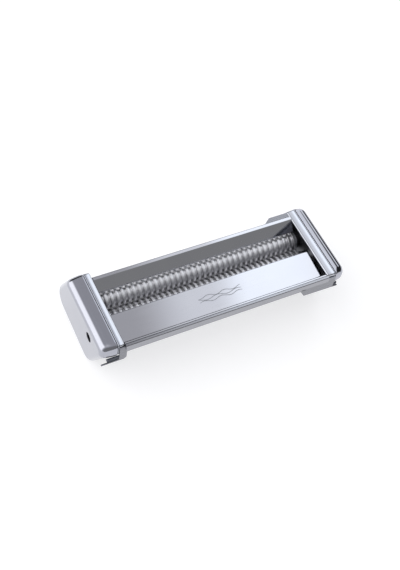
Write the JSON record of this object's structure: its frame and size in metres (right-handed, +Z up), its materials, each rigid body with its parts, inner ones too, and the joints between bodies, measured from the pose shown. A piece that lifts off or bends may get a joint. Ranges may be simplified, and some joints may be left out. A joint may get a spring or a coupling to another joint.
{
  "type": "pasta cutter head",
  "caption": "Chromed spaghetti cutter head for a hand-cranked pasta machine: two meshing grooved rollers between end frames, with a crank socket in the gear cover.",
  "frame": {"origin": "under the middle of the object's box, on the surface it stands on", "axes": "+X along the rollers, from the drive side to the free side; +Y from the guide plate to the rear wall; +Z up, square to the flat rims"},
  "size_m": [0.1806, 0.0796, 0.045],
  "materials": {
    "cover_chrome": "polished",
    "frame_chrome": "polished",
    "plate_chrome": "polished",
    "hook_steel": "satin",
    "shoe_plastic": "moulded",
    "roller_steel": "turned",
    "gear_steel": "machined",
    "spring_steel": "phosphated",
    "bush_nylon": "moulded",
    "comb_steel": "stamped",
    "fastener_steel": "zinc plated"
  },
  "bodies": {
    "body": {"gear_cover": "cover_chrome", "end_cover": "cover_chrome", "left_end_frame": "frame_chrome", "right_end_frame": "frame_chrome", "front_rail": "frame_chrome", "front_guide_plate": "plate_chrome", "rear_guide_wall": "plate_chrome", "front_shell": "plate_chrome", "rear_shell": "plate_chrome", "rear_foot_rail": "frame_chrome", "left_front_hook": "hook_steel", "right_front_hook": "hook_steel", "right_rear_hook": "hook_steel", "left_slide_shoe": "shoe_plastic", "right_slide_shoe": "shoe_plastic", "crank_bush": "bush_nylon", "left_front_bush": "bush_nylon", "left_rear_bush": "bush_nylon", "right_front_bush": "bush_nylon", "right_rear_bush": "bush_nylon", "front_stripper_comb": "comb_steel", "rear_stripper_comb": "comb_steel", "front_tie_rod": "gear_steel", "upper_tie_rod": "gear_steel", "lower_tie_rod": "gear_steel", "left_rod_nuts": "fastener_steel", "right_rod_nuts": "fastener_steel", "left_comb_screws": "fastener_steel", "right_comb_screws": "fastener_steel"},
    "front_roller": {"front_cutting_roller": "roller_steel", "front_roller_gear": "gear_steel", "front_roller_key": "gear_steel", "front_roller_rings": "spring_steel"},
    "rear_roller": {"rear_cutting_roller": "roller_steel", "rear_roller_gear": "gear_steel", "rear_roller_key": "gear_steel", "rear_roller_rings": "spring_steel"},
    "crank": {"crank_shaft": "roller_steel", "crank_gear": "gear_steel", "crank_key": "gear_steel", "crank_ring": "spring_steel"}
  },
  "joints": [
    {"name": "front_roller_turn", "type": "hinge", "parent": "body", "child": "front_roller", "pos_m": [0, -0.00539, 0.02009], "axis": [1, 0, 0], "continuous": true},
    {"name": "rear_roller_turn", "type": "hinge", "parent": "body", "child": "rear_roller", "pos_m": [0, 0.0111, 0.0242], "axis": [1, 0, 0], "continuous": true},
    {"name": "crank_turn", "type": "hinge", "parent": "body", "child": "crank", "pos_m": [0, -0.01757, 0.03266], "axis": [1, 0, 0], "continuous": true}
  ],
  "couplings": [
    {"joint": "rear_roller_turn", "follows": "front_roller_turn", "ratio": -1},
    {"joint": "crank_turn", "follows": "front_roller_turn", "ratio": -0.94444}
  ]
}
